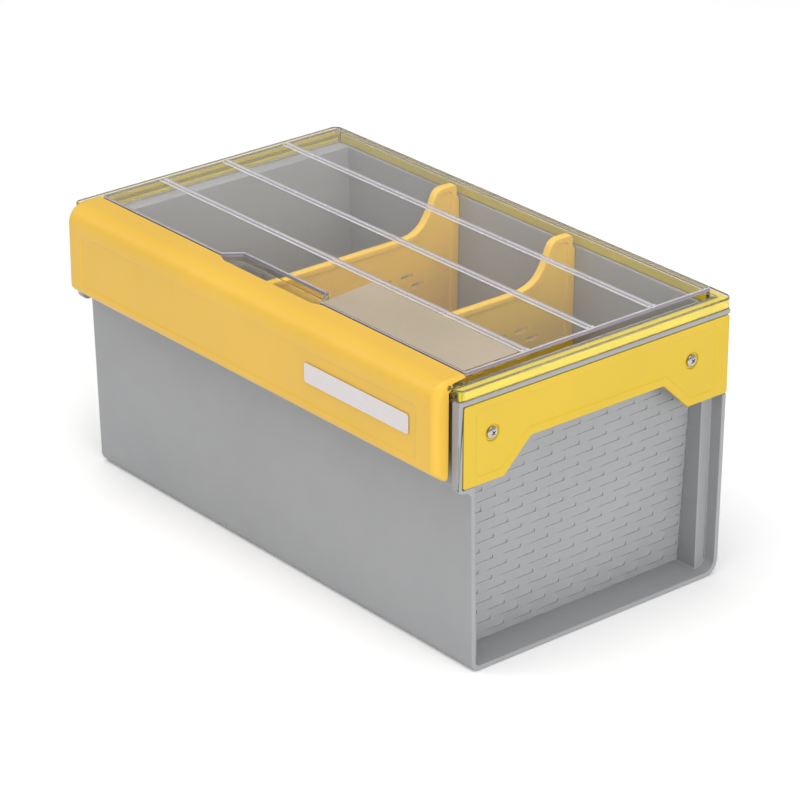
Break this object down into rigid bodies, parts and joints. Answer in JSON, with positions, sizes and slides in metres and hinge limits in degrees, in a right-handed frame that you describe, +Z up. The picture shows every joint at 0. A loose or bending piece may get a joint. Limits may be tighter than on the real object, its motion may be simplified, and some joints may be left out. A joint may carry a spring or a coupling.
{
  "type": "utility box with dividers",
  "caption": "Deep rectangular utility box with a clear hinged lid, a full-length front latch, recessed end walls with screwed grip plates, and lift-out dividers.",
  "frame": {"origin": "centre of the bin's flat underside", "axes": "+X along the length, -Y towards the latch, +Z up"},
  "size_m": [0.2986, 0.1848, 0.1506],
  "materials": {
    "grey_plastic": "satin moulded, fine grain",
    "yellow_plastic": "satin moulded",
    "clear_plastic": "clear, polished, with a frosted writing pad",
    "seal": "smooth soft seal",
    "steel": "bright plated",
    "label_white": "matte write-on film"
  },
  "bodies": {
    "root": {"bin": "grey_plastic", "grip_plate_right": "yellow_plastic", "grip_plate_left": "yellow_plastic", "grip_screw_right_front": "steel", "grip_screw_left_front": "steel", "grip_screw_right_back": "steel", "grip_screw_left_back": "steel", "divider_right": "yellow_plastic", "divider_left": "yellow_plastic", "hinge_pin_right": "steel", "hinge_pin_left": "steel"},
    "lid": {"lid": "clear_plastic", "gasket": "seal"},
    "latch": {"latch": "yellow_plastic", "latch_pin_right": "steel", "latch_pin_left": "steel", "label": "label_white"}
  },
  "joints": [
    {"name": "lid_hinge", "type": "hinge", "parent": "root", "child": "lid", "pos_m": [0, 0.084, 0.1406], "axis": [-1, 0, 0], "range_deg": [0, 105]},
    {"name": "latch_hinge", "type": "hinge", "parent": "lid", "child": "latch", "pos_m": [0, -0.0893, 0.1464], "axis": [-1, 0, 0], "range_deg": [0, 22]}
  ]
}
